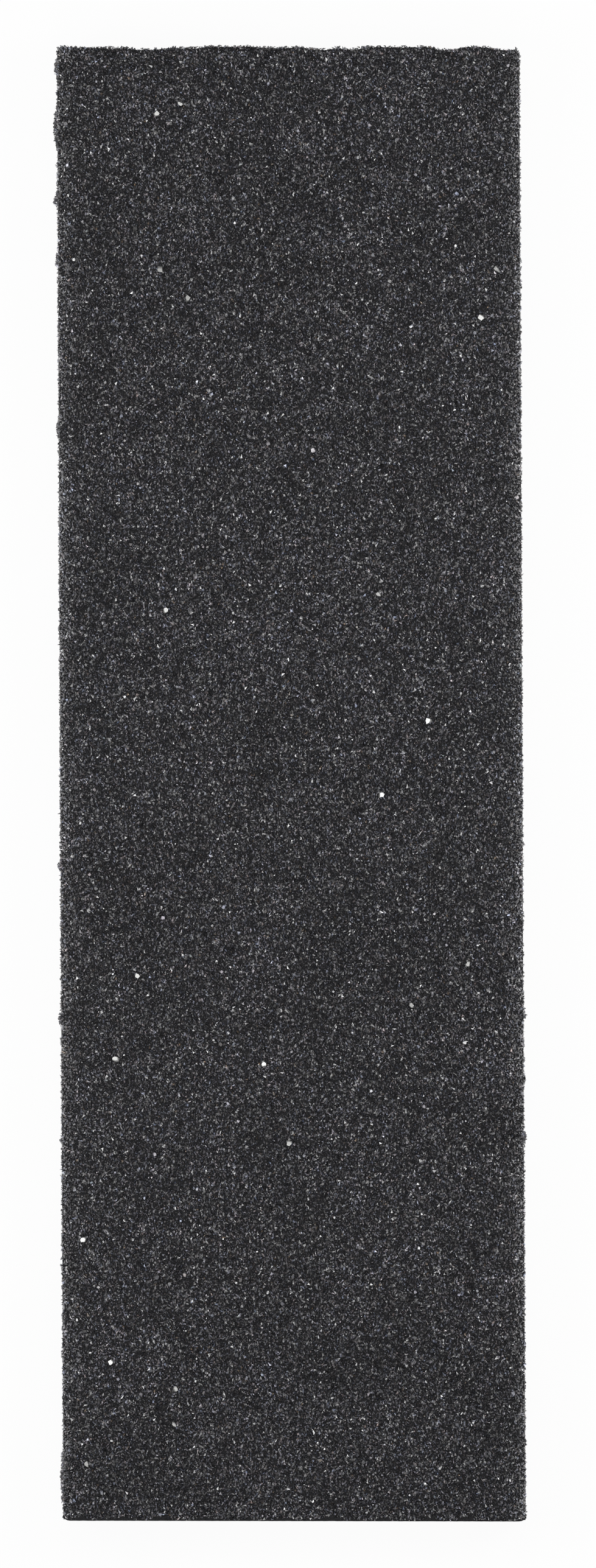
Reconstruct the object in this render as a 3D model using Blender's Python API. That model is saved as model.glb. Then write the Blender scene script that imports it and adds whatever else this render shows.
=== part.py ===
"""A double-sided sanding stick, modelled layer by layer as it is laminated.

A stiff plastic strip lies in the middle. A foam pad is glued to each side of it, and on each pad lies a
coated abrasive: backing paper, a resin make coat and the grain. The stick was slit to width and chopped to
length, so its long edges are pinched and the grain has chipped away along its ends.

Sizes are in metres. The stick lies on its back face, with X across it, Y along it and Z up. The origin is
under its middle.
"""

import math
import random
from dataclasses import dataclass

import bmesh
import bpy

# Outline
STICK_LENGTH = 0.0890
STICK_WIDTH = 0.0280
END_LEAN = math.radians(0.35)  # both ends are cut this far out of square, the left side longer at the far end

# Thickness of the layers, from the middle outwards, and the bond line between neighbours
CORE_THICKNESS = 0.00080
CORE_FILM_THICKNESS = 0.00010
FOAM_THICKNESS = 0.00070
SHEET_FILM_THICKNESS = 0.00010
PAPER_THICKNESS = 0.00024
MAKE_COAT_THICKNESS = 0.00006
GRAIN_COAT_THICKNESS = 0.00028
BOND_LINE = 0.00002

# Pinched long edges: the slitting knife presses the skins into the foam
PINCH_WIDTH = 0.00090
PINCH_DEPTH = 0.00030
PINCH_STEPS = 6

# Far end (+Y): the sheets are torn in long shallow chips, and the middle of the stick is cut a little shorter
FAR_SETBACK = 0.00034
FAR_CHIP_HALF_WIDTH = 0.00150
FAR_CHIP_DEPTH = 0.00016
FAR_CHIP_SPACING = 0.00160

# Near end (-Y): only the grain is chipped, in short scallops, and shows a rim of bare sheet
NEAR_RIM = 0.00005
NEAR_CHIP_HALF_WIDTH = 0.00065
NEAR_CHIP_DEPTH = 0.00016
NEAR_CHIP_SPACING = 0.00130

# Worn corners of the sheets
CORNER_WIDTH = 0.00045
CORNER_LOSS = 0.00020

# Distance between the points of a chipped end
CHIP_STATION = 0.00030

CHIP_SPREAD = 0.45  # scattered chips vary by this share in width, depth and spacing
CHIP_SEED = 80


@dataclass(frozen=True)
class Chip:
    """A shallow round bite out of an end: its place as a share of half the width, its half width and its depth."""

    place: float
    half_width: float
    depth: float

    def depth_at(self, x):
        """How deep the chip is at x: a parabola, which falls below zero outside it."""
        return self.depth * (1 - ((x - self.place * STICK_WIDTH / 2) / self.half_width) ** 2)


# The front sheet's chips at the far end
FRONT_FAR_CHIPS = (
    Chip(-0.82, 0.00220, 0.00010),
    Chip(-0.60, 0.00190, 0.00018),
    Chip(-0.43, 0.00100, 0.00012),
    Chip(-0.06, 0.00150, 0.00006),
    Chip(0.14, 0.00110, 0.00018),
    Chip(0.27, 0.00100, 0.00013),
    Chip(0.69, 0.00100, 0.00019),
    Chip(0.94, 0.00110, 0.00019),
)


@dataclass(frozen=True)
class Finish:
    """Colour and surface of one material."""

    name: str
    colour: tuple
    roughness: float
    metallic: float = 0.0


@dataclass(frozen=True)
class Layer:
    """One layer of a side: its thickness, its finish, and how its faces and ends are cut."""

    name: str
    thickness: float
    finish: Finish
    inner_pinched: bool
    outer_pinched: bool
    far_chipped: bool = False  # torn at the far end, and worn at the corners
    near_chipped: bool = False


BLACK_GRAIN = Finish("silicon_carbide_grain", (0.050, 0.050, 0.054), 0.45)
DARK_RESIN = Finish("make_coat_resin", (0.022, 0.019, 0.017), 0.35)
WATERPROOF_PAPER = Finish("latex_backing_paper", (0.060, 0.054, 0.050), 0.80)
CLEAR_ADHESIVE = Finish("acrylic_adhesive", (0.160, 0.145, 0.110), 0.30)
CHARCOAL_FOAM = Finish("charcoal_foam", (0.055, 0.056, 0.060), 0.95)
GREY_PLASTIC = Finish("grey_core_plastic", (0.230, 0.230, 0.235), 0.45)

SIDE_LAYERS = (
    Layer("core_film", CORE_FILM_THICKNESS, CLEAR_ADHESIVE, False, False),
    Layer("foam_pad", FOAM_THICKNESS, CHARCOAL_FOAM, False, True),
    Layer("sheet_film", SHEET_FILM_THICKNESS, CLEAR_ADHESIVE, True, True),
    Layer("backing_paper", PAPER_THICKNESS, WATERPROOF_PAPER, True, True, far_chipped=True),
    Layer("make_coat", MAKE_COAT_THICKNESS, DARK_RESIN, True, True, far_chipped=True),
    Layer("grain_coat", GRAIN_COAT_THICKNESS, BLACK_GRAIN, True, True, far_chipped=True, near_chipped=True),
)

# The middle of the stick's thickness, which puts its back face on Z = 0
MIDDLE = CORE_THICKNESS / 2 + sum(layer.thickness + BOND_LINE for layer in SIDE_LAYERS)


def scattered_chips(seed, half_width, depth, spacing):
    """Chips set out from one long edge to the other, each a little unlike the last."""
    dice = random.Random(seed)

    def vary(size):
        return size * dice.uniform(1 - CHIP_SPREAD, 1 + CHIP_SPREAD)

    chips = []
    reach = STICK_WIDTH / 2 - CORNER_WIDTH
    place = -reach
    while place < reach:
        half = vary(half_width)
        centre = place + half
        if centre + half < reach:
            chips.append(Chip(centre / (STICK_WIDTH / 2), half, vary(depth)))
        place = centre + half + vary(spacing)
    return tuple(chips)


def bite(chips, x):
    """How far an end is bitten back at x by its deepest chip there."""
    return max(0.0, max((chip.depth_at(x) for chip in chips), default=0.0))


def pinch(x):
    """How far a skin is pressed down at x: nothing in the middle, then a cubic fall to the long edge."""
    share = (abs(x) - STICK_WIDTH / 2 + PINCH_WIDTH) / PINCH_WIDTH
    return PINCH_DEPTH * max(0.0, share) ** 3


def corner_wear(x):
    """How far a worn corner draws a sheet's end in at x."""
    share = (abs(x) - STICK_WIDTH / 2 + CORNER_WIDTH) / CORNER_WIDTH
    return CORNER_LOSS * max(0.0, share) ** 2


def end_shift(x):
    """How far both ends move along the stick at x because they are cut out of square."""
    return -x * math.tan(END_LEAN)


def far_end(layer, chips, x):
    """Where a layer ends towards +Y."""
    if not layer.far_chipped:
        return STICK_LENGTH / 2 - FAR_SETBACK + end_shift(x)
    return STICK_LENGTH / 2 - bite(chips, x) - corner_wear(x) + end_shift(x)


def near_end(layer, chips, x):
    """Where a layer ends towards -Y."""
    end = -STICK_LENGTH / 2 + end_shift(x)
    if layer.far_chipped:
        end += corner_wear(x)
    if layer.near_chipped:
        end += NEAR_RIM + bite(chips, x)
    return end


def stations(layer):
    """The places across the stick where a layer has points: close together where its ends are chipped."""
    edge = STICK_WIDTH / 2
    flat = edge - PINCH_WIDTH
    count = 1
    if layer.far_chipped or layer.near_chipped:
        count = math.ceil(2 * flat / CHIP_STATION)
    across = [-flat + 2 * flat * step / count for step in range(count + 1)]
    fall = [flat + PINCH_WIDTH * step / PINCH_STEPS for step in range(1, PINCH_STEPS + 1)]
    return [-x for x in reversed(fall)] + across + fall


def material_of(finish):
    """The Principled material of a finish, made once."""
    material = bpy.data.materials.get(finish.name)
    if material is None:
        material = bpy.data.materials.new(finish.name)
        material.use_nodes = True
        shader = material.node_tree.nodes["Principled BSDF"]
        shader.inputs["Base Color"].default_value = (*finish.colour, 1.0)
        shader.inputs["Roughness"].default_value = finish.roughness
        shader.inputs["Metallic"].default_value = finish.metallic
        material.diffuse_color = (*finish.colour, 1.0)
    return material


def sheet_mesh(name, layer, side, far_chips, near_chips):
    """A layer as a grid laid out to its cut outline and extruded to its thickness, its inner face at Z = 0."""
    places = stations(layer)
    spans = len(places) - 1
    sheet = bmesh.new()
    grid = bmesh.ops.create_grid(sheet, x_segments=spans, y_segments=1, size=0.5)
    for vertex in grid["verts"]:
        x = places[round((vertex.co.x + 0.5) * spans)]
        end = far_end(layer, far_chips, x) if vertex.co.y > 0 else near_end(layer, near_chips, x)
        drop = pinch(x) if layer.inner_pinched else 0.0
        vertex.co = (x, end, -side * drop)
    raised = bmesh.ops.extrude_face_region(sheet, geom=sheet.faces[:])["geom"]
    for vertex in raised:
        if isinstance(vertex, bmesh.types.BMVert):
            drop = pinch(vertex.co.x) if layer.outer_pinched else 0.0
            vertex.co.z = side * (layer.thickness - drop)
    bmesh.ops.recalc_face_normals(sheet, faces=sheet.faces[:])
    mesh = bpy.data.meshes.new(name)
    sheet.to_mesh(mesh)
    sheet.free()
    mesh.materials.append(material_of(layer.finish))
    return mesh


def add_part(collection, root, name, mesh, level):
    """A part of the stick, hung on the root with its own origin at a level of the stack."""
    part = bpy.data.objects.new(name, mesh)
    part.parent = root
    part.location.z = level
    collection.objects.link(part)


def build_core(collection, root):
    """The stiff strip in the middle, plain and square edged."""
    core = Layer("core_strip", CORE_THICKNESS, GREY_PLASTIC, False, False)
    mesh = sheet_mesh(core.name, core, 1, (), ())
    add_part(collection, root, core.name, mesh, MIDDLE - CORE_THICKNESS / 2)


def build_side(collection, root, label, side, far_chips, near_chips):
    """The six layers of one side, each a bond line out from the last. The sheets of a side share their chips."""
    height = CORE_THICKNESS / 2
    for layer in SIDE_LAYERS:
        height += BOND_LINE
        name = f"{label}_{layer.name}"
        mesh = sheet_mesh(name, layer, side, far_chips, near_chips)
        add_part(collection, root, name, mesh, MIDDLE + side * height)
        height += layer.thickness


def main():
    """Clears the scene and builds the stick."""
    for old in list(bpy.data.objects):
        bpy.data.objects.remove(old)
    collection = bpy.data.collections.new("sanding_stick")
    bpy.context.scene.collection.children.link(collection)
    root = bpy.data.objects.new("sanding_stick_root", None)
    collection.objects.link(root)
    build_core(collection, root)
    back_far_chips = scattered_chips(CHIP_SEED, FAR_CHIP_HALF_WIDTH, FAR_CHIP_DEPTH, FAR_CHIP_SPACING)
    near_chips = [
        scattered_chips(seed, NEAR_CHIP_HALF_WIDTH, NEAR_CHIP_DEPTH, NEAR_CHIP_SPACING)
        for seed in (CHIP_SEED + 1, CHIP_SEED + 2)
    ]
    build_side(collection, root, "front", 1, FRONT_FAR_CHIPS, near_chips[0])
    build_side(collection, root, "back", -1, back_far_chips, near_chips[1])


main()
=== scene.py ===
"""Looks of a double-sided sanding stick: crushed grain, resin, paper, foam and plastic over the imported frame.

The frame gives every layer's place. The grain is modelled one grain at a time, as faceted shards that stand
on the resin, and the layers under it are closed sheets drawn round the frame's own cut outlines.
"""

import logging
import math
from dataclasses import dataclass
from enum import Enum
from typing import Any

import bmesh
import bpy
import numpy as np
from mathutils import Euler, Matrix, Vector

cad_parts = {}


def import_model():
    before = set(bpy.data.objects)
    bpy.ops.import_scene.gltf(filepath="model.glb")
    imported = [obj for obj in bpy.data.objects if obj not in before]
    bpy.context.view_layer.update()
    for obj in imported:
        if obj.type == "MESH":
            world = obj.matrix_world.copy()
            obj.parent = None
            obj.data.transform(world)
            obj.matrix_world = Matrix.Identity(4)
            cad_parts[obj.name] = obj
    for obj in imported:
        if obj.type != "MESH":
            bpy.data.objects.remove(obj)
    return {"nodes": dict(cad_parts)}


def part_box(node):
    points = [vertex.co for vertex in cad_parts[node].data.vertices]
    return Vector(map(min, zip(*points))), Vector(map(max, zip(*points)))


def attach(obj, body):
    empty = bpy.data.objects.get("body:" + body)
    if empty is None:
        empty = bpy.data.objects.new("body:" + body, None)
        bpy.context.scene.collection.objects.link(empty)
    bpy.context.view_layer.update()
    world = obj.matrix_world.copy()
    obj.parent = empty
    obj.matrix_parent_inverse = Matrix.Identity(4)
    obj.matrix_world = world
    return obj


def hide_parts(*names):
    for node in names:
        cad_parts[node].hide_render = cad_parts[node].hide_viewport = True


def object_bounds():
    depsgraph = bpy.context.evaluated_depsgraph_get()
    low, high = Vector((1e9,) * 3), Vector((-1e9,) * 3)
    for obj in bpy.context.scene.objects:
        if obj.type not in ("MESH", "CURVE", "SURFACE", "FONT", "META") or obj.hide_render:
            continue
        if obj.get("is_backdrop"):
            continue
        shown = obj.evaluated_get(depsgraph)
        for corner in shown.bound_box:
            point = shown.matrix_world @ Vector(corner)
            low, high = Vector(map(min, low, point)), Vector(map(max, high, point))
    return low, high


frame: dict[str, Any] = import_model()

Array = np.ndarray
Colour = tuple[float, float, float]
Range = tuple[float, float]
Material = bpy.types.Material
Mesh = bpy.types.Mesh
Socket = bpy.types.NodeSocket

LOG = logging.getLogger("sanding_stick")
BODY = "root"
CORE_NODE = "core_strip"
MM = 0.001

# Seeds of the random draws
SEED = 80
SHEET_SEED = SEED + 10
FOAM_SEED = SEED + 30
CORE_SEED = SEED + 40
FILM_SEED = SEED + 50

# The photograph's frame, in pixels, and the stick's place in it
PHOTO_SIZE = (979, 2576)
PHOTO_STICK_CENTRE = (478.5, 1286.7)
PHOTO_PIXELS_PER_METRE = 27255.0
PHOTO_ROLL = math.radians(0.246)

# Decimals of a metre to which places across the stick are told apart
STATION_DIGITS = 7

# Distance between the rows of a hexagonal lattice of unit pitch
HEXAGON_ROW = math.sqrt(0.75)

# Insets of the rows over a sheet's faces, close together where its pinched edge falls
SKIN = np.array([0.90, 0.50, 0.25]) * MM

# The triangle that a facet takes up in its grain's square of the map of colours, for a square of unit size
SWATCH = np.array([[0.1, 0.1], [0.9, 0.1], [0.1, 0.9]])


class Side(Enum):
    """The two faces of the stick."""

    FRONT = "front"
    BACK = "back"

    @property
    def sign(self) -> int:
        """Direction along Z in which this side's layers are stacked."""
        return 1 if self is Side.FRONT else -1

    def node(self, layer: str) -> str:
        """Name of a layer's node on this side."""
        return f"{self.value}_{layer}"


class End(Enum):
    """The two cut ends of the stick."""

    NEAR = -1
    FAR = 1


class LongEdge(Enum):
    """The two slit edges of the stick."""

    LEFT = -1
    RIGHT = 1


class Slot(Enum):
    """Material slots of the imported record."""

    GRAIN = "grain"
    MAKE_COAT = "make_coat"
    PAPER = "backing_paper"
    ADHESIVE = "adhesive"
    FOAM = "foam"
    CORE = "core_plastic"


# Node trees and finishes


class NodeSheet:
    """A material with its node tree, and short calls to add and join nodes."""

    def __init__(self, name: str) -> None:
        """Starts a material that holds one Principled shader.

        Args:
            name: the material's name.
        """
        self.material = bpy.data.materials.new(name)
        self.material.use_nodes = True
        self.nodes = self.material.node_tree.nodes
        self.shader = self.nodes["Principled BSDF"]
        self.output = self.nodes["Material Output"]

    def add(self, kind: str, values: dict[str, Any] | None = None, **settings: Any) -> bpy.types.Node:
        """Adds a node.

        Args:
            kind: the node's type name.
            values: input socket names with the values to set on them.
            settings: attributes to set on the node.

        Returns:
            The node.
        """
        node = self.nodes.new(kind)
        for key, value in settings.items():
            setattr(node, key, value)
        for key, value in (values or {}).items():
            node.inputs[key].default_value = value
        return node

    def join(self, source: Socket, target: Socket) -> None:
        """Links an output socket to an input socket."""
        self.material.node_tree.links.new(source, target)

    def place(self) -> Socket:
        """The Object coordinates, in metres."""
        return self.add("ShaderNodeTexCoord").outputs["Object"]

    def attribute(self, name: str) -> bpy.types.NodeOutputs:
        """The outputs that read one of the mesh's own attributes."""
        return self.add("ShaderNodeAttribute", attribute_name=name).outputs

    def noise(self, size: float, detail: float) -> Socket:
        """Noise on the Object coordinates.

        Args:
            size: width of its features in metres.
            detail: octaves of finer noise.

        Returns:
            The noise's value socket.
        """
        node = self.add("ShaderNodeTexNoise", {"Scale": 1.0 / size, "Detail": detail})
        self.join(self.place(), node.inputs["Vector"])
        return node.outputs["Fac"]

    def ramp(self, value: Socket, places: Range, colours: tuple[Colour, Colour]) -> Socket:
        """A colour that follows a value from one colour to another.

        Args:
            value: the socket to follow.
            places: the values, from 0 to 1, at which the colour starts and ends.
            colours: the colours there.

        Returns:
            The colour socket.
        """
        node = self.add("ShaderNodeValToRGB")
        for element, place, colour in zip(node.color_ramp.elements, places, colours):
            element.position = place
            element.color = (*colour, 1.0)
        self.join(value, node.inputs["Fac"])
        return node.outputs["Color"]

    def between(self, value: Socket, low: float, high: float) -> Socket:
        """Carries a value from 0 to 1 over to another range.

        Args:
            value: the socket to carry over.
            low: the result at 0.
            high: the result at 1.

        Returns:
            The result's socket.
        """
        node = self.add("ShaderNodeMapRange", {"To Min": low, "To Max": high})
        self.join(value, node.inputs["Value"])
        return node.outputs["Result"]

    def bump(self, height: Socket, depth: float) -> None:
        """Roughens the shader's normal.

        Args:
            height: a socket with heights from 0 to 1.
            depth: the real depth of that range in metres.
        """
        node = self.add("ShaderNodeBump", {"Strength": 1.0, "Distance": depth})
        self.join(height, node.inputs["Height"])
        self.join(node.outputs["Normal"], self.shader.inputs["Normal"])


@dataclass(frozen=True)
class GrainFinish:
    """Crushed black silicon carbide under a thin coat of resin: dark, with facets that glint.

    The colours are those of a grain's crest; painted shade darkens each grain towards its foot, down to a given
    share of its colour.
    Spread and tint say how far grains differ in depth and in warmth, as powers of e, and warmth how red,
    green and blue follow the tint. The depths are ranges that colours are multiplied by.
    """

    name: str = "crushed_black_grain"
    black: Colour = (0.126, 0.122, 0.144)
    warm: Colour = (0.200, 0.140, 0.093)
    pale: Colour = (0.78, 0.78, 0.76)
    spread: float = 0.92
    tint: float = 0.08
    warmth: Colour = (1.0, 0.0, -1.0)
    warm_share: float = 0.008
    warm_depth: Range = (0.5, 2.0)
    pale_depth: Range = (0.65, 1.0)
    limits: Range = (0.015, 0.9)
    roughness: Range = (0.21, 0.50)
    ior: float = 2.55
    foot_shade_share: float = 0.028
    # Painted sheen: grains near the long edges are made paler, fading over this reach
    edge_sheen_reach: float = 0.52 * MM
    edge_sheen_depth: Range = (0.3, 1.7)

    def colours(self, rng: np.random.Generator, count: int, pale: Array) -> Array:
        """A colour for each grain: black of uneven depth and warmth, at times brown, and pale where asked.

        Args:
            rng: the source of their unlikeness.
            count: how many grains.
            pale: a mask of the grains that are pale.

        Returns:
            Colours of shape (count, 4).
        """
        colour = np.array(self.black) * rng.lognormal(0.0, self.spread, (count, 1))
        colour *= np.exp(rng.normal(0.0, self.tint, (count, 1)) * np.array(self.warmth))
        brown = rng.random(count) < self.warm_share
        colour[brown] = np.array(self.warm) * rng.uniform(*self.warm_depth, (int(brown.sum()), 1))
        colour[pale] = np.array(self.pale) * rng.uniform(*self.pale_depth, (int(pale.sum()), 1))
        return np.column_stack([colour.clip(*self.limits), np.ones(count)])

    def painted_edge_sheen(self, rng: np.random.Generator, away: Array) -> Array:
        """Painted sheen that makes each grain paler near the long edge: a share that fades with distance from
        the edge.
        """
        fade = np.exp(-away.clip(0.0) / self.edge_sheen_reach)
        return (fade * rng.uniform(*self.edge_sheen_depth, len(away)))[:, None]

    def material(self) -> Material:
        """Takes colour and gloss from each grain's own attributes, and darkens it with painted shade towards
        its foot.

        Returns:
            The material.
        """
        sheet = NodeSheet(self.name)
        # Painted shade: the colour is scaled down from full at a grain's upper part to a small share at its
        # foot
        shaded = sheet.add("ShaderNodeVectorMath", operation="SCALE")
        rise = sheet.attribute("rise")["Fac"]
        gloss = sheet.attribute("gloss")["Fac"]
        bright, dull = self.roughness
        sheet.join(sheet.attribute("grain_colour")["Color"], shaded.inputs["Vector"])
        sheet.join(sheet.between(rise, self.foot_shade_share, 1.0), shaded.inputs["Scale"])
        sheet.join(shaded.outputs["Vector"], sheet.shader.inputs["Base Color"])
        sheet.join(sheet.between(gloss, dull, bright), sheet.shader.inputs["Roughness"])
        sheet.shader.inputs["IOR"].default_value = self.ior
        return sheet.material


@dataclass(frozen=True)
class MottledFinish:
    """A plain stuff whose colour, gloss and surface waver with noise of one size."""

    name: str
    dark: Colour
    light: Colour
    roughness: Range
    mottle: float
    relief: float
    ior: float = 1.5
    detail: float = 3.0
    span: Range = (0.3, 0.7)

    def material(self) -> Material:
        """Lets colour, roughness and bump all follow one noise.

        Returns:
            The material.
        """
        sheet = NodeSheet(self.name)
        wave = sheet.noise(self.mottle, self.detail)
        sheet.join(sheet.ramp(wave, self.span, (self.dark, self.light)), sheet.shader.inputs["Base Color"])
        sheet.join(sheet.between(wave, *self.roughness), sheet.shader.inputs["Roughness"])
        sheet.bump(wave, self.relief)
        sheet.shader.inputs["IOR"].default_value = self.ior
        return sheet.material


RESIN = MottledFinish(
    name="make_coat_resin",
    dark=(0.005, 0.005, 0.006),
    light=(0.010, 0.0095, 0.012),
    roughness=(0.38, 0.54),
    mottle=0.10 * MM,
    relief=0.10 * MM,
    ior=1.35,
)
PAPER = MottledFinish(
    name="latex_backing_paper",
    dark=(0.040, 0.035, 0.031),
    light=(0.085, 0.076, 0.069),
    roughness=(0.75, 0.95),
    mottle=0.09 * MM,
    relief=0.02 * MM,
)
ADHESIVE = MottledFinish(
    name="acrylic_adhesive",
    dark=(0.10, 0.09, 0.07),
    light=(0.19, 0.17, 0.13),
    roughness=(0.25, 0.45),
    mottle=0.4 * MM,
    relief=0.01 * MM,
)
FOAM = MottledFinish(
    name="charcoal_foam",
    dark=(0.030, 0.031, 0.034),
    light=(0.075, 0.076, 0.081),
    roughness=(0.85, 1.0),
    mottle=0.16 * MM,
    relief=0.04 * MM,
)
CORE = MottledFinish(
    name="grey_core_plastic",
    dark=(0.205, 0.205, 0.210),
    light=(0.255, 0.255, 0.260),
    roughness=(0.38, 0.55),
    mottle=0.25 * MM,
    relief=0.006 * MM,
    ior=1.55,
)


# What the frame says


def node_points(node: str) -> Array:
    """Corners of a node's mesh.

    Args:
        node: a node of the frame.

    Returns:
        An array of shape (corners, 3) in metres.
    """
    vertices = frame["nodes"][node].data.vertices
    points = np.empty(len(vertices) * 3, np.float32)
    vertices.foreach_get("co", points)
    return points.reshape(-1, 3).astype(float)


@dataclass(frozen=True)
class CutLine:
    """One cut end of a layer, as its place along the stick at each place across it."""

    across: Array
    along: Array

    @classmethod
    def of_node(cls, node: str, end: End) -> "CutLine":
        """Reads an end from the frame: at each place across, the corner that reaches furthest.

        Args:
            node: the layer's node.
            end: which end.

        Returns:
            The cut line.
        """
        points = node_points(node)
        kept = points[points[:, 1] * end.value > 0]
        across, station = np.unique(kept[:, 0].round(STATION_DIGITS), return_inverse=True)
        reach = np.full(len(across), -np.inf)
        np.maximum.at(reach, station.reshape(-1), kept[:, 1] * end.value)
        return cls(across, reach * end.value)

    def at(self, x: Array | float) -> Array:
        """Place along the stick at x, straight between the corners."""
        return np.interp(x, self.across, self.along)


@dataclass(frozen=True)
class Pinch:
    """The long edges' fall: the skins drop by a cubic of the distance into the pinched band."""

    edge: float
    width: float = 0.90 * MM
    depth: float = 0.30 * MM

    def share(self, x: Array) -> Array:
        """Share of the way through the pinched band at x: 0 on the flat and 1 at the long edge."""
        return np.clip((np.abs(x) - self.edge + self.width) / self.width, 0.0, None)

    def drop(self, x: Array) -> Array:
        """How far a skin lies below its flat middle at x: the depth times the cube of the share."""
        return self.depth * self.share(x) ** 3

    def slope(self, x: Array) -> Array:
        """Angle by which the skin leans outwards at x, positive towards +X: the drop's slope, in radians."""
        return np.arctan(3 * self.depth / self.width * self.share(x) ** 2) * np.sign(x)


@dataclass(frozen=True)
class LayerPlan:
    """Plan of a layer: its cut ends, pinched edges and levels, which count from the core's mid-plane."""

    side: Side
    near: CutLine
    far: CutLine
    pinch: Pinch
    middle: float
    inner: float
    outer: float
    inner_pinched: bool
    outer_pinched: bool

    @classmethod
    def of_node(cls, node: str, side: Side, inner_pinched: bool, outer_pinched: bool) -> "LayerPlan":
        """Reads a layer from the frame.

        Args:
            node: the layer's node.
            side: the face it belongs to; the core counts as front.
            inner_pinched: whether its inner face follows the pinched edges.
            outer_pinched: whether its outer face does.

        Returns:
            The plan.
        """
        core_low, core_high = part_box(CORE_NODE)
        middle = (core_low.z + core_high.z) / 2
        low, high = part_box(node)
        pinch = Pinch(edge=(high.x - low.x) / 2)
        levels = sorted(side.sign * (z - middle) for z in (low.z, high.z))
        return cls(
            side=side,
            near=CutLine.of_node(node, End.NEAR),
            far=CutLine.of_node(node, End.FAR),
            pinch=pinch,
            middle=middle,
            inner=levels[0] + (pinch.depth if inner_pinched else 0.0),
            outer=levels[1],
            inner_pinched=inner_pinched,
            outer_pinched=outer_pinched,
        )

    def height(self, x: Array, level: Array | float, pinched: Array | float = 1.0) -> Array:
        """World Z of a level at x, where pinched says how far the level follows the pinched edges."""
        return self.middle + self.side.sign * (level - pinched * self.pinch.drop(x))

    def loop(self, step: float) -> tuple[Array, Array]:
        """The cut outline as a closed path, anticlockwise from the near right corner.

        Args:
            step: distance between its points.

        Returns:
            Points of shape (points, 2), and each one's share of the way from the near end to the far end.
        """
        edge = self.pinch.edge
        rows = int((self.far.at(0.0) - self.near.at(0.0)) / step)
        columns = int(2 * edge / step)
        up = np.arange(rows) / rows
        over = np.arange(columns) / columns
        right = np.stack([np.full(rows, edge), self.near.at(edge) * (1 - up) + self.far.at(edge) * up], 1)
        far_x = edge * (1 - 2 * over)
        far = np.stack([far_x, self.far.at(far_x)], 1)
        left = np.stack([np.full(rows, -edge), self.far.at(-edge) * (1 - up) + self.near.at(-edge) * up], 1)
        near = np.stack([-far_x, self.near.at(-far_x)], 1)
        share = np.concatenate([up, np.ones(columns), 1 - up, np.zeros(columns)])
        return np.concatenate([right, far, left, near]), share

    def drawn_in(self, path: Array, inset: Array) -> tuple[Array, Array]:
        """The path drawn in from the outline: each point held inside the outline less its inset.

        Args:
            path: points of shape (points, 1, 2).
            inset: distances of shape (points, rows).

        Returns:
            X and Y arrays of shape (points, rows).
        """
        limit = self.pinch.edge - inset
        x = np.clip(path[..., 0] + 0 * inset, -limit, limit)
        y = np.clip(path[..., 1] + 0 * inset, self.near.at(x) + inset, self.far.at(x) - inset)
        return x, y


# Meshes from arrays


def mesh_from_arrays(name: str, points: Array, faces: Array) -> Mesh:
    """A mesh of flat faces from whole arrays.

    Args:
        name: the mesh's name.
        points: corners of shape (corners, 3).
        faces: corner numbers of shape (faces, corners of a face).

    Returns:
        The mesh.
    """
    mesh = bpy.data.meshes.new(name)
    count, corners = faces.shape
    mesh.vertices.add(len(points))
    mesh.vertices.foreach_set("co", points.astype(np.float32).reshape(-1))
    mesh.loops.add(count * corners)
    mesh.loops.foreach_set("vertex_index", faces.astype(np.int32).reshape(-1))
    mesh.polygons.add(count)
    mesh.polygons.foreach_set("loop_start", np.arange(count, dtype=np.int32) * corners)
    mesh.update(calc_edges=True)
    mesh.shade_flat()
    return mesh


def close_mesh(mesh: Mesh, within: float = 1e-8) -> None:
    """Merges the points that lie together and turns the faces outwards.

    Args:
        mesh: the mesh to close.
        within: distance at which points count as one.
    """
    work = bmesh.new()
    work.from_mesh(mesh)
    bmesh.ops.remove_doubles(work, verts=work.verts[:], dist=within)
    bmesh.ops.dissolve_degenerate(work, edges=work.edges[:], dist=within)
    bmesh.ops.recalc_face_normals(work, faces=work.faces[:])
    work.to_mesh(mesh)
    work.free()


def carried_profile(
    name: str, plan: LayerPlan, step: float, skin: Array, wall: Array, depth: Array
) -> Mesh:
    """A layer as its edge profile carried round its outline and closed over both faces.

    The profile runs out over the outer face, down the cut and in over the inner face. Each point of the
    outline is drawn in by the profile's inset, and lies at the profile's share of the way from the outer face
    to the inner one. Past the profile's ends, both faces close on the stick's middle line.

    Args:
        name: the mesh's name.
        plan: the layer's plan.
        step: distance between points of the outline.
        skin: insets of the rows over a face, the same for all points or of shape (points, rows).
        wall: insets of the rows down the cut, of the same kinds of shape.
        depth: shares from 0 at the outer face to 1 at the inner one, for the rows down the cut.

    Returns:
        The closed mesh.
    """
    path, share = plan.loop(step)
    count = len(path)
    face = np.broadcast_to(skin, (count, skin.shape[-1]))
    cut = np.broadcast_to(wall, (count, wall.shape[-1]))
    x, y = plan.drawn_in(path[:, None, :], np.concatenate([face, cut, face[:, ::-1]], 1))
    deep = np.concatenate([np.zeros(face.shape[1]), depth, np.ones(face.shape[1])])
    level = plan.outer + (plan.inner - plan.outer) * deep
    pinched = plan.outer_pinched + (float(plan.inner_pinched) - plan.outer_pinched) * deep
    ring = np.stack([x, y, plan.height(x, level, pinched)], 2)
    edge = plan.pinch.edge
    spine = (plan.near.at(0.0) + edge) * (1 - share) + (plan.far.at(0.0) - edge) * share
    caps = [
        np.column_stack([0 * share, spine, np.full(count, plan.height(np.zeros(1), flat)[0])])[:, None, :]
        for flat in (plan.outer, plan.inner)
    ]
    grid = np.concatenate([caps[0], ring, caps[1]], 1)
    number = np.arange(grid.shape[0] * grid.shape[1]).reshape(grid.shape[:2])
    ahead = np.roll(number, -1, axis=0)
    quads = np.stack([number[:, :-1], number[:, 1:], ahead[:, 1:], ahead[:, :-1]], 2).reshape(-1, 4)
    mesh = mesh_from_arrays(name, grid.reshape(-1, 3), quads)
    close_mesh(mesh)
    return mesh


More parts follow.
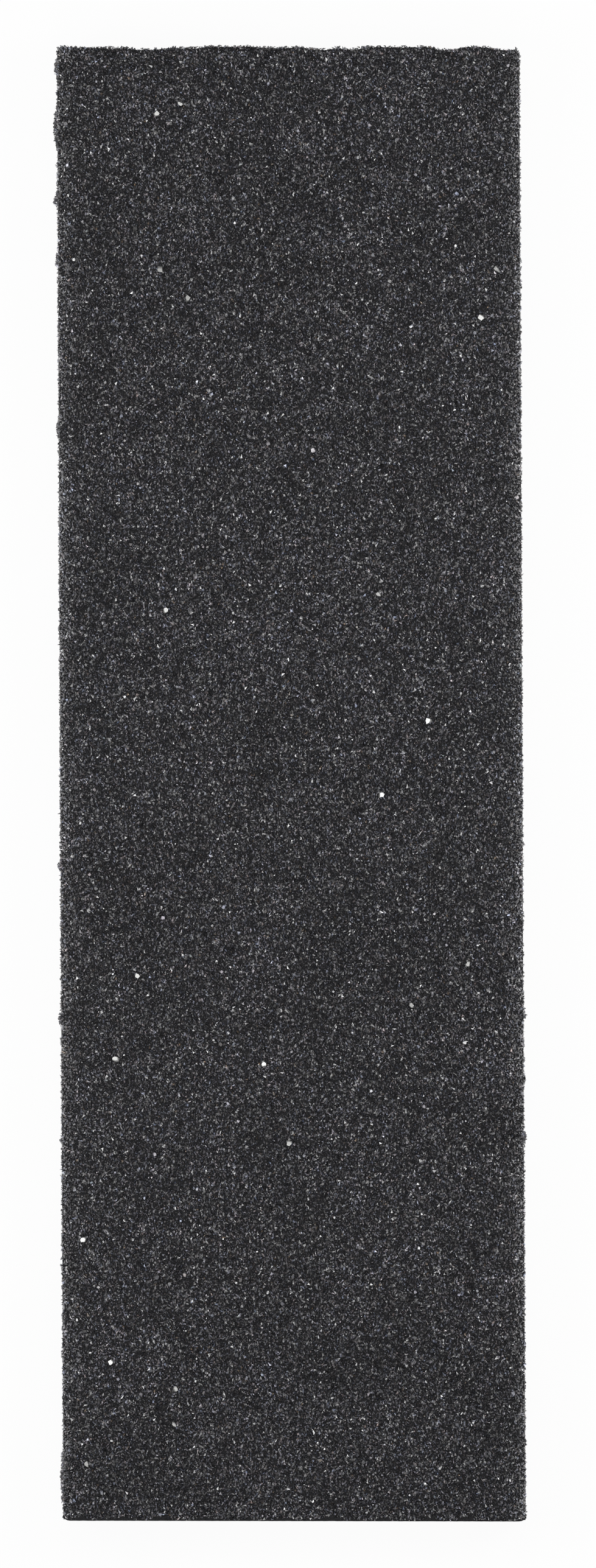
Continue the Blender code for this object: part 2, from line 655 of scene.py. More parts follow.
def add_piece(name: str, mesh: Mesh, material: Material, replaced: str) -> bpy.types.Object:
    """Puts a piece in the scene, at the origin, riding on the stick in place of a node.

    Args:
        name: the piece's name.
        mesh: its mesh, in place.
        material: its finish.
        replaced: the node that it stands for.

    Returns:
        The piece.
    """
    piece = bpy.data.objects.new(name, mesh)
    bpy.context.scene.collection.objects.link(piece)
    mesh.materials.append(material)
    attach(piece, BODY)
    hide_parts(replaced)
    LOG.info("%s: %d faces", name, len(mesh.polygons))
    return piece


def add_face_values(mesh: Mesh, name: str, values: Array) -> None:
    """Gives each face of a mesh a number, or a colour, that its material can read."""
    kind, key = ("FLOAT", "value") if values.ndim == 1 else ("FLOAT_COLOR", "color")
    mesh.attributes.new(name, kind, "FACE").data.foreach_set(key, values.astype(np.float32).reshape(-1))


def add_corner_values(mesh: Mesh, name: str, values: Array) -> None:
    """Gives each corner of each face of a mesh a number that its material can read."""
    mesh.attributes.new(name, "FLOAT", "CORNER").data.foreach_set("value", values.astype(np.float32))


def add_swatch_map(mesh: Mesh, owner: Array, count: int) -> None:
    """A map in which every grain has a small square to itself, which all its facets share.

    Args:
        mesh: a mesh of triangles.
        owner: the grain that each face belongs to.
        count: how many grains there are.
    """
    side = math.ceil(math.sqrt(count))
    corner = np.stack([owner % side, owner // side], 1)[:, None, :]
    layer = mesh.uv_layers.new(name="OFBake")
    layer.uv.foreach_set("vector", ((corner + SWATCH) / side).astype(np.float32).reshape(-1))


def turned(points: Array, axes: Array, angles: Array) -> Array:
    """Turns each group of points about its own axis through the origin, by Rodrigues' formula.

    Args:
        points: groups of points, of shape (groups, points, 3).
        axes: a unit axis for each group.
        angles: an angle for each group, in radians.

    Returns:
        The turned points.
    """
    axis = np.broadcast_to(axes[:, None, :], points.shape)
    cos, sin = np.cos(angles)[:, None, None], np.sin(angles)[:, None, None]
    along = (points * axis).sum(2, keepdims=True)
    return points * cos + np.cross(axis, points) * sin + axis * along * (1 - cos)


def ragged(rng: np.random.Generator, count: int, run: int, sharp: float = 0.3) -> Array:
    """A closed row of random numbers from 0 to 1, evened out over a few neighbours and sharpened again.

    Args:
        rng: the source of the numbers.
        count: how many.
        run: how many neighbours are evened out.
        sharp: the share that is left as it was drawn.

    Returns:
        The numbers.
    """
    fine = rng.random(count)
    smooth = sum(np.roll(fine, shift) for shift in range(-run, run + 1)) / (2 * run + 1)
    spread = (smooth - smooth.min()) / np.ptp(smooth)
    return (1 - sharp) * spread + sharp * fine


def slow_drift(places: Array, size: float, rng: np.random.Generator) -> Array:
    """A random field that drifts slowly: numbers on a coarse lattice, blended smoothly between its points.

    Args:
        places: X and Y, of shape (places, 2).
        size: distance between the lattice's points.
        rng: the source of the numbers.

    Returns:
        A number for each place, about normal.
    """
    spot = (places - places.min(0)) / size
    cell = spot.astype(int)
    blend = spot - cell
    blend = blend * blend * (3 - 2 * blend)
    lattice = rng.normal(size=tuple(cell.max(0) + 2))
    i, j = cell.T
    u, v = blend.T
    low = lattice[i, j] * (1 - u) + lattice[i + 1, j] * u
    high = lattice[i, j + 1] * (1 - u) + lattice[i + 1, j + 1] * u
    return low * (1 - v) + high * v


# The stick


@dataclass(frozen=True)
class GrainKind:
    """One kind of crushed grain: how many sides it has, and whether its top is a flat facet or a point.

    Share is how many of the grains are of this kind. The sizes are in radii of the foot and in heights. Blunt
    is a flat top's size and tilt its slope. Corners are out of place by the jitter, as a share of the step
    from one to the next, and push is how far the top is off its axis. Stretch is how much longer than wide
    the longest grains are, as a power of e.
    """

    sides: int
    table: bool
    share: float
    blunt: Range = (0.30, 0.70)
    tilt: float = 0.40
    stretch: float = 0.50
    corner_jitter: float = 0.32
    foot_radius: Range = (0.65, 1.30)
    foot_depth: float = 0.45
    push: float = 0.6
    table_push: float = 0.7

    def facets(self) -> Array:
        """Triangles over the points: a buried foot, and walls that rise to a point or to a flat table.

        Returns:
            Point numbers of shape (facets, 3).
        """
        i = np.arange(self.sides)
        j = (i + 1) % self.sides
        foot = np.stack([0 * i, j, i], 1)[1:-1]
        if not self.table:
            return np.concatenate([foot, np.stack([i, j, 0 * i + self.sides], 1)])
        top, next_top = i + self.sides, j + self.sides
        walls = [np.stack([i, j, next_top], 1), np.stack([i, next_top, top], 1)]
        fan = np.stack([0 * i + self.sides, top, next_top], 1)[1:-1]
        return np.concatenate([foot, *walls, fan])

    def points(self, rng: np.random.Generator, count: int) -> Array:
        """Grains of unit radius and height.

        A grain is a function of the angle and the level: a foot of uneven radius under the resin, and on top
        a point pushed off its axis, or a smaller ring that is pushed aside and tilted.

        Args:
            rng: the source of their unlikeness.
            count: how many.

        Returns:
            Points of shape (count, points of a grain, 3).
        """
        corners = (count, self.sides)
        place = np.arange(self.sides) + rng.uniform(-self.corner_jitter, self.corner_jitter, corners)
        turn = place * (2 * np.pi / self.sides)
        radius = rng.uniform(*self.foot_radius, corners)
        ring = np.stack([radius * np.cos(turn), radius * np.sin(turn)], 2)
        foot = np.concatenate([ring, np.full((*corners, 1), -self.foot_depth)], 2)
        push = rng.uniform(-self.push, self.push, (count, 1, 2))
        if not self.table:
            return np.concatenate([foot, np.concatenate([push, np.ones((count, 1, 1))], 2)], 1)
        top = ring * rng.uniform(*self.blunt, (count, 1, 1)) + self.table_push * push
        slope = rng.normal(0.0, self.tilt, (count, 2, 1))
        return np.concatenate([foot, np.concatenate([top, 1.0 + top @ slope], 2)], 1)


# Pale grains that stand out, as millimetres across and along the face
PALE_SPOTS: dict[Side, tuple[tuple[float, float], ...]] = {
    Side.FRONT: (
        (-12.5, -41.0), (-7.2, -38.5), (-7.2, -36.4), (-10.9, -34.9), (-12.6, -27.4), (-0.2, -21.7),
        (-1.7, -17.0), (-10.6, -16.7), (7.1, -13.4), (-9.3, -11.5), (10.7, -10.9), (5.4, -0.8), (8.3, 3.7),
        (-7.6, 10.4), (5.4, 11.4), (11.6, 28.1), (-6.1, 29.2), (12.6, 30.9), (-7.8, 31.0), (-8.0, 40.4),
        (-6.4, 41.0),
    ),
    Side.BACK: ((-6.0, -30.0), (9.0, -8.0), (-3.0, 17.0), (6.0, 36.0)),
}


@dataclass(frozen=True)
class Grit:
    """A side's grain: its size, how much painted sheen lightens its grains along the long edges, and how many
    bands it is made in.
    """

    pitch: float
    radius: float
    height: float
    edge_sheen: float
    bands: int


GRITS: dict[Side, Grit] = {
    Side.FRONT: Grit(pitch=0.118 * MM, radius=0.090 * MM, height=0.082 * MM, edge_sheen=0.37, bands=6),
    Side.BACK: Grit(pitch=0.180 * MM, radius=0.137 * MM, height=0.110 * MM, edge_sheen=0.08, bands=3),
}


@dataclass(frozen=True)
class Clump:
    """Grain squeezed out over a long edge: its place along the stick, half its length and its reach."""

    edge: LongEdge
    along: float
    half: float
    reach: float

    def reach_at(self, places: Array) -> Array:
        """How far the clump reaches past its edge beside each place: a parabola along the stick.

        Args:
            places: X and Y, of shape (places, 2).

        Returns:
            A distance for each place, 0 beside the rest of the edge.
        """
        across, along = places.T
        bow = 1 - ((along - self.along) / self.half) ** 2
        return self.reach * np.clip(bow, 0.0, None) * (np.sign(across) == self.edge.value)


CLUMPS: dict[Side, tuple[Clump, ...]] = {
    Side.FRONT: (
        Clump(LongEdge.LEFT, 43.2 * MM, 0.5 * MM, 0.13 * MM),
        Clump(LongEdge.LEFT, 39.6 * MM, 1.3 * MM, 0.19 * MM),
        Clump(LongEdge.LEFT, 35.2 * MM, 0.5 * MM, 0.17 * MM),
        Clump(LongEdge.LEFT, 31.6 * MM, 0.4 * MM, 0.10 * MM),
        Clump(LongEdge.LEFT, 21.3 * MM, 0.6 * MM, 0.10 * MM),
        Clump(LongEdge.LEFT, -4.9 * MM, 0.3 * MM, 0.14 * MM),
        Clump(LongEdge.LEFT, -14.1 * MM, 0.4 * MM, 0.10 * MM),
        Clump(LongEdge.LEFT, -41.8 * MM, 1.6 * MM, 0.10 * MM),
        Clump(LongEdge.RIGHT, -14.0 * MM, 0.4 * MM, 0.11 * MM),
        Clump(LongEdge.RIGHT, -21.3 * MM, 0.4 * MM, 0.10 * MM),
    ),
    Side.BACK: (
        Clump(LongEdge.RIGHT, 30.0 * MM, 0.9 * MM, 0.05 * MM),
        Clump(LongEdge.LEFT, 12.0 * MM, 0.6 * MM, 0.05 * MM),
        Clump(LongEdge.RIGHT, -18.0 * MM, 0.5 * MM, 0.05 * MM),
    ),
}


@dataclass
class GrainCoat:
    """The grain of one side, as separate grains that stand on the resin.

    Jitter, clump_jitter, crosswise and spot_reach are in pitches of the grit, and margin in its radii.
    Spreads are powers of e, with limits to the result. A grain has its full colour from a height given in
    heights of the grit, and painted shade darkens it below that. For the painted sheen along the long edges, a
    clump counts as lying further from the slit edge, by a multiple of its reach.
    """

    side: Side
    finish: GrainFinish
    grit: Grit
    pale_spots: tuple[tuple[float, float], ...]
    clumps: tuple[Clump, ...]
    jitter: float = 0.48
    margin: float = 0.25
    spare_rows: int = 2
    spare_columns: int = 8
    radius_spread: float = 0.24
    radius_limits: Range = (0.5, 1.5)
    height_spread: float = 0.45
    height_limits: Range = (0.4, 1.9)
    swing: float = math.radians(38)
    crosswise: float = 1.5
    lean: float = math.radians(16)
    overhang: float = 0.050 * MM
    near_overhang: float = 0.095 * MM
    far_overhang: float = 0.036 * MM
    most_overhang: float = 0.22 * MM
    proud: float = 0.02 * MM
    unshaded_height: float = 1.5
    clump_layers: int = 3
    clump_jitter: float = 0.4
    clump_sheen_offset: float = 8.0
    pale_share: float = 0.0002
    pale_radius: float = 0.172 * MM
    pale_height: float = 0.220 * MM
    spot_reach: float = 2.0
    drifts: tuple[tuple[float, float], ...] = ((3.0 * MM, 0.15), (0.4 * MM, 0.28))
    kinds: tuple[GrainKind, ...] = (
        GrainKind(sides=3, table=False, share=0.700),
        GrainKind(sides=4, table=False, share=0.208),
        GrainKind(sides=3, table=True, share=0.090),
        GrainKind(sides=6, table=True, share=0.002, blunt=(0.75, 0.95), tilt=0.15, stretch=0.12),
    )

    def __post_init__(self) -> None:
        """Reads the coat's place from the frame and starts the source of the grains' unlikeness."""
        node = self.side.node("grain_coat")
        self.plan = LayerPlan.of_node(node, self.side, inner_pinched=True, outer_pinched=True)
        self.rng = np.random.default_rng(SEED + self.side.sign)

    def sites(self) -> Array:
        """Places of the grains: a hexagonal lattice, each place shifted at random, kept where the coat lies.

        The clumps at the long edges are thicker, with more grains about the same places.

        Returns:
            X and Y, of shape (grains, 2), in order along the stick.
        """
        pitch, edge = self.grit.pitch, self.plan.pinch.edge
        reach = float(np.max(self.plan.far.along))
        rows = int(2 * reach / (pitch * HEXAGON_ROW)) + self.spare_rows
        columns = int(2 * edge / pitch) + self.spare_columns
        row, column = np.mgrid[0:rows, 0:columns].astype(float)
        x = (column + 0.5 * (row % 2) - columns / 2) * pitch
        y = (row - rows / 2) * pitch * HEXAGON_ROW
        places = np.stack([x, y], 2).reshape(-1, 2)
        places += self.rng.uniform(-self.jitter, self.jitter, places.shape) * pitch
        x, y = places.T
        margin = self.margin * self.grit.radius
        inside = np.abs(x) < edge + self.squeezed(places) - margin
        inside &= (y > self.plan.near.at(x) + margin) & (y < self.plan.far.at(x) - margin)
        places = places[inside]
        outer = places[np.abs(places[:, 0]) > edge - pitch]
        outer = np.repeat(outer[self.squeezed(outer) > 0], self.clump_layers, axis=0)
        outer += self.rng.normal(0.0, self.clump_jitter * pitch, outer.shape)
        places = np.concatenate([places, outer])
        return places[np.argsort(places[:, 1])]

    def squeezed(self, places: Array) -> Array:
        """How far the coat is squeezed out over the long edge beside each place."""
        return np.max([clump.reach_at(places) for clump in self.clumps], axis=0)

    def stand(self, kind: GrainKind, places: Array, radius: Array, height: Array) -> Array:
        """Scales grains, turns them more or less lengthwise, leans them and stands them on the resin.

        Those at the torn far end lie crosswise, since the ones that stuck out broke off.

        Args:
            kind: the kind of grain.
            places: X and Y of each.
            radius: radius of each.
            height: height of each.

        Returns:
            World points of shape (grains, points, 3).
        """
        count = len(places)
        x, y = places.T
        stretch = np.exp(self.rng.uniform(0.0, kind.stretch, count))
        size = np.stack([radius * stretch, radius / stretch, height], 1)
        sized = kind.points(self.rng, count) * size[:, None, :]
        upright = np.tile([0.0, 0.0, 1.0], (count, 1))
        turn = self.rng.normal(np.pi / 2, self.swing, count)
        turn[y > self.plan.far.at(x) - self.crosswise * self.grit.pitch] += np.pi / 2
        sized = turned(sized, upright, turn)
        heading = self.rng.uniform(0, 2 * np.pi, count)
        lean = np.abs(self.rng.normal(0.0, self.lean, count))
        tipped = turned(sized, np.stack([np.cos(heading), np.sin(heading), 0 * heading], 1), lean)
        lengthwise = np.tile([0.0, 1.0, 0.0], (count, 1))
        seated = turned(tipped, lengthwise, self.plan.pinch.slope(x))
        seated[..., 2] *= self.side.sign
        foot = self.plan.height(x, self.plan.inner)
        return self.trimmed(seated + np.column_stack([places, foot])[:, None, :])

    def trimmed(self, grains: Array) -> Array:
        """Shifts grains inwards where they hang over a cut or stand proud of the coat by more than a little.

        Args:
            grains: world points of shape (grains, points, 3).

        Returns:
            The shifted points.
        """
        count = len(grains)
        slack = self.rng.exponential(1.0, (2, count))
        reach = np.array([[self.overhang], [self.far_overhang]])
        side_slack, end_slack = (reach * slack).clip(0.0, self.most_overhang)
        low, high = grains.min(1), grains.max(1)
        edge = self.plan.pinch.edge + side_slack + self.squeezed(grains.mean(1)[:, :2])
        shift = np.zeros((count, 3))
        shift[:, 0] = np.clip(-edge - low[:, 0], 0, None) - np.clip(high[:, 0] - edge, 0, None)
        middle = grains[..., 0].mean(1) + shift[:, 0]
        near = self.plan.near.at(middle) - self.rng.uniform(0.0, self.near_overhang, count)
        far = self.plan.far.at(middle) + end_slack
        shift[:, 1] = np.clip(near - low[:, 1], 0, None) - np.clip(high[:, 1] - far, 0, None)
        crest = (self.side.sign * (grains[..., 2] - self.plan.middle)).max(1)
        proud = self.rng.uniform(0.0, self.proud, count)
        over = crest - (self.plan.outer - self.plan.pinch.drop(middle) + proud)
        shift[:, 2] = -self.side.sign * np.clip(over, 0, None)
        return grains + shift[:, None, :]

    def build(self, material: Material) -> None:
        """Makes the grains, band by band along the stick."""
        for number, places in enumerate(np.array_split(self.sites(), self.grit.bands), 1):
            self.build_band(f"{self.side.value}_grain_{number}", places, material)

    def marked(self, places: Array) -> Array:
        """The grains nearest to the pale spots, for those spots that lie among the places.

        Args:
            places: X and Y of the grains.

        Returns:
            Numbers of grains.
        """
        spots = np.array(self.pale_spots).reshape(-1, 2) * MM
        away = np.linalg.norm(places[:, None, :] - spots, axis=2)
        return away.argmin(0)[away.min(0) < self.spot_reach * self.grit.pitch]

    def risen(self, grains: Array) -> Array:
        """How far each point of the grains stands out of the resin, as a share of the height above which no
        painted shade darkens it.
        """
        level = self.plan.height(grains[..., 0], self.plan.inner)
        return (self.side.sign * (grains[..., 2] - level) / (self.unshaded_height * self.grit.height)).clip(0.0, 1.0)

    def build_band(self, name: str, places: Array, material: Material) -> None:
        """Makes one band of grains as one mesh.

        Args:
            name: the piece's name.
            places: X and Y of its grains.
            material: the grain's finish.
        """
        rng, count = self.rng, len(places)
        kind_of = rng.choice(len(self.kinds), count, p=[kind.share for kind in self.kinds])
        radius = self.grit.radius * rng.lognormal(0.0, self.radius_spread, count).clip(*self.radius_limits)
        height = self.grit.height * rng.lognormal(0.0, self.height_spread, count).clip(*self.height_limits)
        pale = rng.random(count) < self.pale_share
        marked = self.marked(places)
        pale[marked] = True
        radius[marked], height[marked] = self.pale_radius, self.pale_height
        kind_of[marked] = len(self.kinds) - 1
        colour = self.finish.colours(rng, count, pale)
        for size, depth in self.drifts:
            colour[:, :3] *= np.exp(depth * slow_drift(places, size, rng))[:, None]
        # Painted sheen: grains near the long edges are made paler, and the clumps less so
        away = self.plan.pinch.edge - np.abs(places[:, 0]) + self.clump_sheen_offset * self.squeezed(places)
        colour[:, :3] += self.grit.edge_sheen * self.finish.painted_edge_sheen(rng, away)
        gloss = rng.random(count)
        points, faces, owners, rises, start = [], [], [], [], 0
        for index, kind in enumerate(self.kinds):
            chosen = np.flatnonzero(kind_of == index)
            grains = self.stand(kind, places[chosen], radius[chosen], height[chosen])
            facets = kind.facets()[:, :: self.side.sign]
            each = grains.shape[1]
            offset = start + each * np.arange(len(chosen))
            points.append(grains.reshape(-1, 3))
            faces.append((facets[None] + offset[:, None, None]).reshape(-1, 3))
            owners.append(np.repeat(chosen, len(facets)))
            rises.append(self.risen(grains)[:, facets].reshape(-1))
            start += each * len(chosen)
        owner = np.concatenate(owners)
        mesh = mesh_from_arrays(name, np.concatenate(points), np.concatenate(faces))
        add_face_values(mesh, "grain_colour", colour[owner])
        add_face_values(mesh, "gloss", gloss[owner])
        # Each corner's rise, which the material turns into painted shade towards each grain's foot
        add_corner_values(mesh, "rise", np.concatenate(rises))
        add_swatch_map(mesh, owner, count)
        add_piece(name, mesh, material, self.side.node("grain_coat"))


@dataclass
class CoatedSheet:
    """An abrasive sheet without its grain: the paper and the resin on it, torn together where it was slit."""

    side: Side
    step: float = 0.15 * MM
    slit_back: float = 0.055 * MM
    tear: float = 0.09 * MM
    tear_run: int = 4
    fur: float = 0.012 * MM
    paper_rows: tuple[float, ...] = (0.0, 0.25, 0.5, 0.75, 1.0)
    resin_rows: tuple[float, ...] = (0.0, 0.4, 1.0)

    def __post_init__(self) -> None:
        """Starts the source of the fur."""
        self.rng = np.random.default_rng(SHEET_SEED + self.side.sign)

    def torn_edge(self, plan: LayerPlan) -> Array:
        """How far the edge is drawn back at each point of the outline; the near end was chopped clean.

        Args:
            plan: the plan of the layer.

        Returns:
            Distances of shape (points, 1).
        """
        share = plan.loop(self.step)[1]
        wander = ragged(np.random.default_rng(SEED), len(share), self.tear_run)
        return ((self.slit_back + self.tear * wander) * (share > 0.0))[:, None]

    def build(self, paper: Material, resin: Material) -> None:
        """Draws the paper and the resin round their outlines."""
        self.build_layer("backing_paper", "sheet", self.paper_rows, paper)
        self.build_layer("make_coat", "resin", self.resin_rows, resin)

    def build_layer(
        self, layer: str, label: str, rows: tuple[float, ...], material: Material
    ) -> None:
        """Draws one layer, whose cut is furred.

        Args:
            layer: the layer's name in the frame.
            label: what its piece is called.
            rows: shares of the thickness at which the cut has rows.
            material: its finish.
        """
        node = self.side.node(layer)
        plan = LayerPlan.of_node(node, self.side, inner_pinched=True, outer_pinched=True)
        edge = self.torn_edge(plan)
        cut = edge + self.rng.uniform(0.0, self.fur, (len(edge), len(rows)))
        mesh = carried_profile(node, plan, self.step, SKIN, cut, np.array(rows))
        add_piece(f"{node}_{label}", mesh, material, node)


@dataclass
class FoamPad:
    """The foam cushion, whose knife-cut sides show open cells and draw in a little between the skins.

    The cells' places and radii are in pitches of the cells.
    """

    side: Side
    step: float = 0.10 * MM
    cell: float = 0.22 * MM
    cell_depth: float = 0.13 * MM
    cell_place: Range = (0.1, 0.9)
    cell_radius: Range = (0.40, 0.70)
    spare_cells: int = 3
    short: float = 0.06 * MM
    draw_in: float = 0.06 * MM
    rows: int = 12
    skin: tuple[float, ...] = (0.9 * MM, 0.6 * MM, 0.3 * MM)

    def pits(self, along: Array, height: Array) -> Array:
        """Open cells cut by a knife: one pit to each square of a jittered lattice, deepest at its middle.

        The depth is one less the square of the distance to the nearest pit, over the pit's own radius.

        Args:
            along: distance along the cut, an array.
            height: height up the cut, from 0, of the same shape.

        Returns:
            Depths from 0 to 1.
        """
        rng = np.random.default_rng(FOAM_SEED + self.side.sign)
        u, v = along / self.cell, height / self.cell
        wide, tall = (int(np.ceil(reach.max())) + self.spare_cells for reach in (u, v))
        place = rng.uniform(*self.cell_place, (wide, tall, 2))
        radius = rng.uniform(*self.cell_radius, (wide, tall))
        column, row = (np.floor(reach).astype(int) + 1 for reach in (u, v))
        depth = np.zeros_like(u)
        for over in (-1, 0, 1):
            for up in (-1, 0, 1):
                i, j = np.clip(column + over, 0, wide - 1), np.clip(row + up, 0, tall - 1)
                away_u = u - (i - 1 + place[i, j, 0])
                away_v = v - (j - 1 + place[i, j, 1])
                depth = np.maximum(depth, 1 - (away_u**2 + away_v**2) / radius[i, j] ** 2)
        return depth

    def build(self, material: Material) -> None:
        """Draws the pad round its outline, pitted along its cut.

        The cut draws in by a parabola of the height, and its pits fade out towards the skins.

        Args:
            material: the foam's finish.
        """
        node = self.side.node("foam_pad")
        plan = LayerPlan.of_node(node, self.side, inner_pinched=False, outer_pinched=True)
        count = len(plan.loop(self.step)[0])
        up = np.linspace(0.0, 1.0, self.rows)
        along = np.arange(count)[:, None] * self.step + 0 * up
        height = (plan.outer - plan.inner) * up + 0 * along
        waist = 4 * up * (1 - up)
        pitted = self.cell_depth * self.pits(along, height) * np.sqrt(waist)
        wall = self.short + self.draw_in * waist + pitted
        mesh = carried_profile(node, plan, self.step, np.array(self.skin), wall, up)
        piece = add_piece(f"{node}_cushion", mesh, material, node)


@dataclass
class CoreStrip:
    """The stiff strip in the middle, whose sheared edge has a rounded lip.

    Each row of the sheared edge has its inset, in lips, and its share of the thickness.
    """

    step: float = 0.15 * MM
    short: float = 0.08 * MM
    lip: float = 0.05 * MM
    drag: float = 0.012 * MM
    skin: float = 0.6 * MM
    lip_rows: tuple[float, ...] = (1.0, 0.3, 0.0, 0.0, 0.0, 0.0, 0.3)
    depth_rows: tuple[float, ...] = (0.0, 0.02, 0.08, 0.35, 0.70, 0.97, 1.0)

    def build(self, material: Material) -> None:
        """Draws the strip round its outline, with knife drag down the flat of its cut.

        Args:
            material: the plastic's finish.
        """
        plan = LayerPlan.of_node(CORE_NODE, Side.FRONT, inner_pinched=False, outer_pinched=False)
        rng = np.random.default_rng(CORE_SEED)
        count = len(plan.loop(self.step)[0])
        lips = np.array(self.lip_rows)
        flat = lips == 0.0
        wall = np.tile(self.lip * lips + self.short, (count, 1))
        wall[:, flat] += rng.uniform(0, self.drag, (count, 1)) + np.linspace(0, self.drag, flat.sum())
        skin, depth = np.array([self.skin]), np.array(self.depth_rows)
        mesh = carried_profile(CORE_NODE, plan, self.step, skin, wall, depth)
        add_piece(f"{CORE_NODE}_plate", mesh, material, CORE_NODE)


@dataclass
class AdhesiveFilm:
    """A film that bonds two layers, squeezed into a soft bead a little short of the cut.

    Each row of its edge has its bulge, in beads, and its share of the thickness.
    """

    layer: str
    side: Side
    pinched: bool
    step: float = 0.30 * MM
    short: float = 0.11 * MM
    bead: float = 0.03 * MM
    wander_run: int = 3
    bulge_rows: tuple[float, ...] = (0.0, 1.0, 0.0)
    depth_rows: tuple[float, ...] = (0.0, 0.5, 1.0)

    def build(self, material: Material) -> None:
        """Draws the film round its outline, its edge bulged between the layers.

        Args:
            material: the adhesive's finish.
        """
        node = self.side.node(self.layer)
        plan = LayerPlan.of_node(node, self.side, self.pinched, self.pinched)
        rng = np.random.default_rng(FILM_SEED + self.side.sign)
        wander = self.bead * ragged(rng, len(plan.loop(self.step)[0]), self.wander_run)[:, None]
        wall = self.short - self.bead * np.array(self.bulge_rows)
        mesh = carried_profile(node, plan, self.step, SKIN + wander, wall + wander, np.array(self.depth_rows))
        add_piece(f"{node}_bead", mesh, material, node)


@dataclass
class SandingStick:
    """The whole stick, with the finish of each of its layers."""

    grain: GrainFinish = GrainFinish()
    resin: MottledFinish = RESIN
    paper: MottledFinish = PAPER
    adhesive: MottledFinish = ADHESIVE
    foam: MottledFinish = FOAM
    core: MottledFinish = CORE

    def build(self) -> None:
        """Builds and dresses every layer, from the middle outwards."""
        grain, resin, paper = self.grain.material(), self.resin.material(), self.paper.material()
        adhesive, foam = self.adhesive.material(), self.foam.material()
        CoreStrip().build(self.core.material())
        for side in Side:
            AdhesiveFilm("core_film", side, pinched=False).build(adhesive)
            FoamPad(side).build(foam)
            AdhesiveFilm("sheet_film", side, pinched=True).build(adhesive)
            CoatedSheet(side).build(paper, resin)
            GrainCoat(side, self.grain, GRITS[side], PALE_SPOTS[side], CLUMPS[side]).build(grain)


# The studio


@dataclass(frozen=True)
class Softbox:
    """A square soft light that looks at the stick: its angles in degrees, and its shift along the stick."""

    name: str
    azimuth: float
    elevation: float
    distance: float = 1.0
    size: float = 0.42
    radiance: float = 6.2
    shift: float = 0.0

    def build(self) -> None:
        """Adds the light. Its power is the radiance times pi times its area."""
        light = bpy.data.lights.new(self.name, "AREA")
        light.shape = "SQUARE"
        light.size = self.size
        light.energy = self.radiance * math.pi * self.size**2
        lamp = bpy.data.objects.new(self.name, light)
        around, up = math.radians(self.azimuth), math.radians(self.elevation)
        place = Vector((math.cos(around) * math.cos(up), math.sin(around) * math.cos(up), math.sin(up)))
        lamp.location = place * self.distance + Vector((0.0, self.shift, 0.0))
        lamp.rotation_euler = place.to_track_quat("Z", "Y").to_euler()
        lamp.visible_camera = False
        bpy.context.scene.collection.objects.link(lamp)


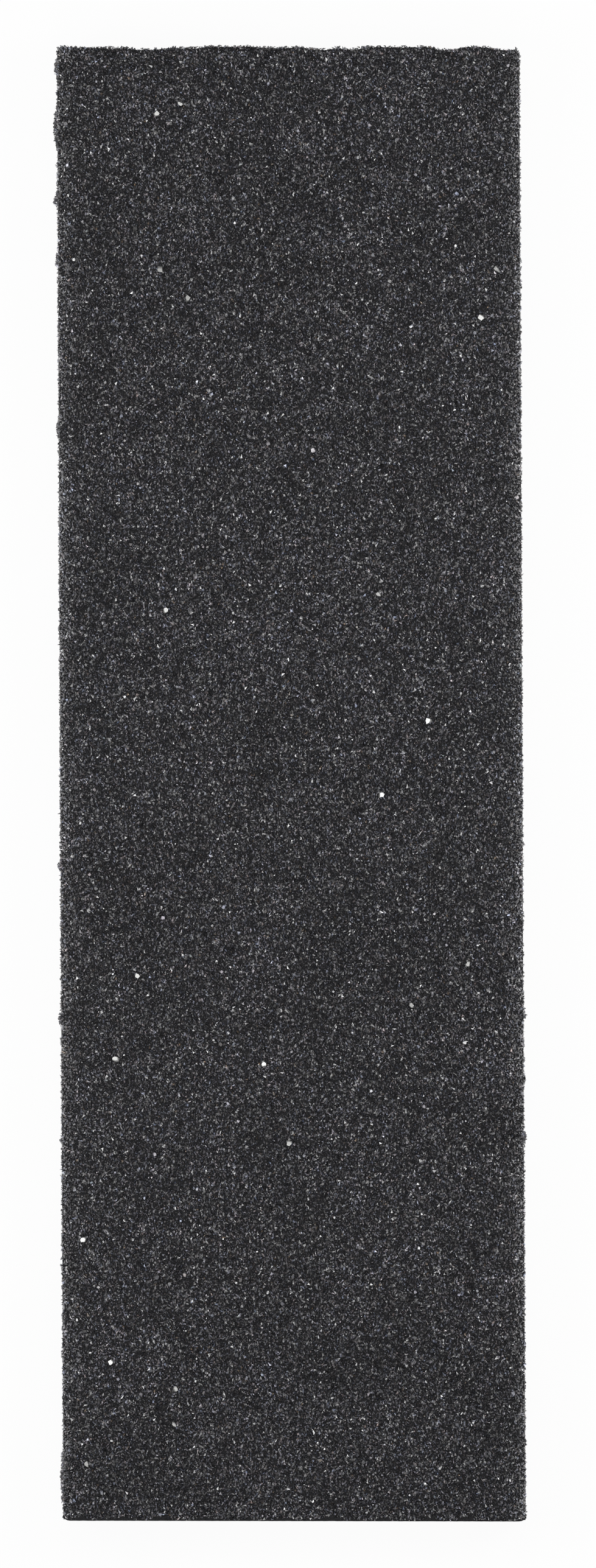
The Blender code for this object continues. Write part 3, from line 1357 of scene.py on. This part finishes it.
@dataclass
class Studio:
    """A white table under soft light, seen from straight above as in the photograph.

    The surrounding light falls to the ambient share between the two heights of dimming, which are sines of
    the angle above the horizon. Floor_white is how much of the floor is plain white where it is seen
    directly.
    """

    camera_distance: float = 0.90
    floor_half: float = 3.0
    floor_gap: float = 0.01 * MM
    floor_colour: Colour = (0.86, 0.86, 0.86)
    floor_roughness: float = 0.9
    floor_white: float = 0.95
    ambient: float = 0.26
    dimming: Range = (0.05, 0.25)
    lights: tuple[Softbox, ...] = (
        Softbox("softbox_right", 8, 48, distance=0.15, size=0.063, shift=0.014),
        Softbox("softbox_far", 98, 50, radiance=3.1),
        Softbox("softbox_left", 188, 48, distance=0.15, size=0.063, shift=0.014),
        Softbox("softbox_near", 278, 50, radiance=3.1),
    )

    def build(self) -> None:
        """Sets up the view, the lights, the floor and the camera."""
        bpy.context.scene.view_settings.view_transform = "Standard"
        for light in self.lights:
            light.build()
        self.build_world()
        self.build_floor()
        self.build_camera()

    def seen_directly(self, sheet: NodeSheet) -> Socket:
        """Tells the rays from the camera, from gloss and through glass from light that scatters.

        Args:
            sheet: the material to add the nodes to.

        Returns:
            A socket that is 1 for the first and 0 for the others.
        """
        path = sheet.add("ShaderNodeLightPath").outputs
        value = path["Is Camera Ray"]
        for other in ("Is Glossy Ray", "Is Transmission Ray"):
            either = sheet.add("ShaderNodeMath", operation="MAXIMUM")
            sheet.join(value, either.inputs[0])
            sheet.join(path[other], either.inputs[1])
            value = either.outputs["Value"]
        return value

    def build_world(self) -> None:
        """A white surrounding that dims overhead, where the softboxes are."""
        world = bpy.data.worlds.new("white_room")
        world.use_nodes = True
        bpy.context.scene.world = world
        tree = world.node_tree
        coordinates = tree.nodes.new("ShaderNodeTexCoord")
        split = tree.nodes.new("ShaderNodeSeparateXYZ")
        strength = tree.nodes.new("ShaderNodeMapRange")
        start, end = self.dimming
        fall = {"From Min": start, "From Max": end, "To Min": 1.0, "To Max": self.ambient}
        for name, value in fall.items():
            strength.inputs[name].default_value = value
        tree.links.new(coordinates.outputs["Generated"], split.inputs["Vector"])
        tree.links.new(split.outputs["Z"], strength.inputs["Value"])
        background = tree.nodes["Background"]
        background.inputs["Color"].default_value = (1.0, 1.0, 1.0, 1.0)
        tree.links.new(strength.outputs["Result"], background.inputs["Strength"])

    def build_floor(self) -> None:
        """A plain pale floor just under the stick, mostly white where it is seen directly."""
        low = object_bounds()[0].z - self.floor_gap
        corner = np.array([[-1.0, -1.0], [1.0, -1.0], [1.0, 1.0], [-1.0, 1.0]]) * self.floor_half
        mesh = mesh_from_arrays("floor", np.column_stack([corner, np.full(4, low)]), np.arange(4)[None])
        sheet = NodeSheet("white_floor")
        sheet.shader.inputs["Base Color"].default_value = (*self.floor_colour, 1.0)
        sheet.shader.inputs["Roughness"].default_value = self.floor_roughness
        sheet.shader.inputs["Specular IOR Level"].default_value = 0.0
        glow = sheet.add("ShaderNodeEmission", {"Strength": 1.0})
        mix = sheet.add("ShaderNodeMixShader")
        share = sheet.between(self.seen_directly(sheet), 0.0, self.floor_white)
        sheet.join(share, mix.inputs["Fac"])
        sheet.join(sheet.shader.outputs["BSDF"], mix.inputs[1])
        sheet.join(glow.outputs["Emission"], mix.inputs[2])
        sheet.join(mix.outputs["Shader"], sheet.output.inputs["Surface"])
        mesh.materials.append(sheet.material)
        floor = bpy.data.objects.new("floor", mesh)
        bpy.context.scene.collection.objects.link(floor)
        floor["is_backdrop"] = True

    def build_camera(self) -> None:
        """A long lens straight above the stick, framed as in the photograph."""
        camera = bpy.data.cameras.new("camera")
        field = max(PHOTO_SIZE) / PHOTO_PIXELS_PER_METRE
        camera.lens = camera.sensor_width * self.camera_distance / field
        view = bpy.data.objects.new("camera", camera)
        view.rotation_euler = Euler((0.0, 0.0, -PHOTO_ROLL))
        aside = (PHOTO_SIZE[0] / 2 - PHOTO_STICK_CENTRE[0]) / PHOTO_PIXELS_PER_METRE
        up = (PHOTO_STICK_CENTRE[1] - PHOTO_SIZE[1] / 2) / PHOTO_PIXELS_PER_METRE
        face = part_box("front_grain_coat")[1].z
        place = Vector((aside, up, self.camera_distance))
        place.rotate(view.rotation_euler)
        view.location = place + Vector((0.0, 0.0, face))
        bpy.context.scene.collection.objects.link(view)
        bpy.context.scene.camera = view


def main() -> None:
    """Builds the stick and its studio."""
    logging.basicConfig(level=logging.INFO, format="%(name)s %(message)s")
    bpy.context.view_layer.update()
    SandingStick().build()
    Studio().build()


if __name__ == "__main__":
    main()
